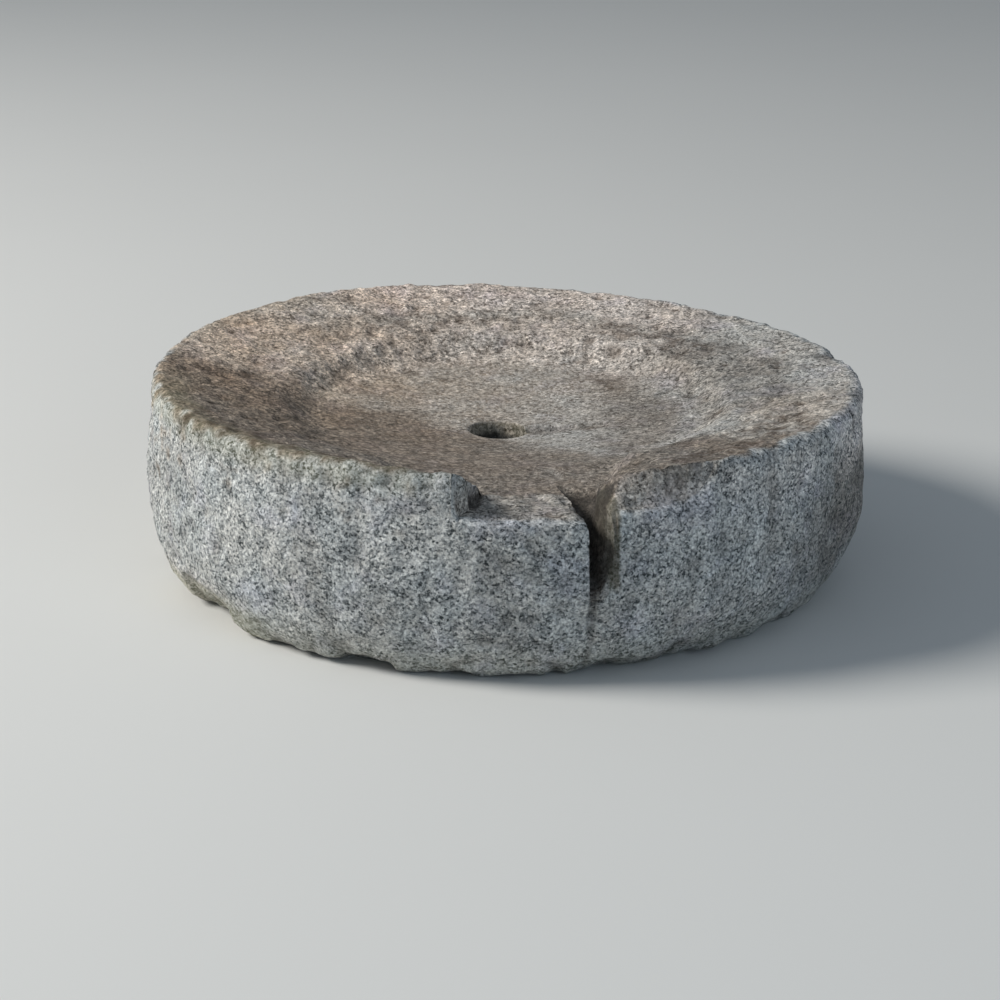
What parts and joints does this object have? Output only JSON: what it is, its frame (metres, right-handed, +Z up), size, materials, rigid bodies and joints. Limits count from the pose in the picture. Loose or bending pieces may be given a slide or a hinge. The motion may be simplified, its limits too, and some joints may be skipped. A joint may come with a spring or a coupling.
{
  "type": "rotary quern lower stone",
  "caption": "Round granite bed stone of a hand mill: raised sloping rim, dished grinding bed, central spindle socket and a pouring slot through the chipped rim.",
  "frame": {"origin": "centre of the outline's bounding box, on the underside", "axes": "+Z up, along the stone's own axis; the pouring slot opens towards -Y, turned 14 degrees towards +X"},
  "size_m": [0.6088, 0.6112, 0.1735],
  "materials": {
    "granite": "weathered grey granite, pick dressed and pitted, brown earth stains in the hollow"
  },
  "bodies": {
    "root": {"quern_lower_stone": "granite"}
  },
  "joints": []
}
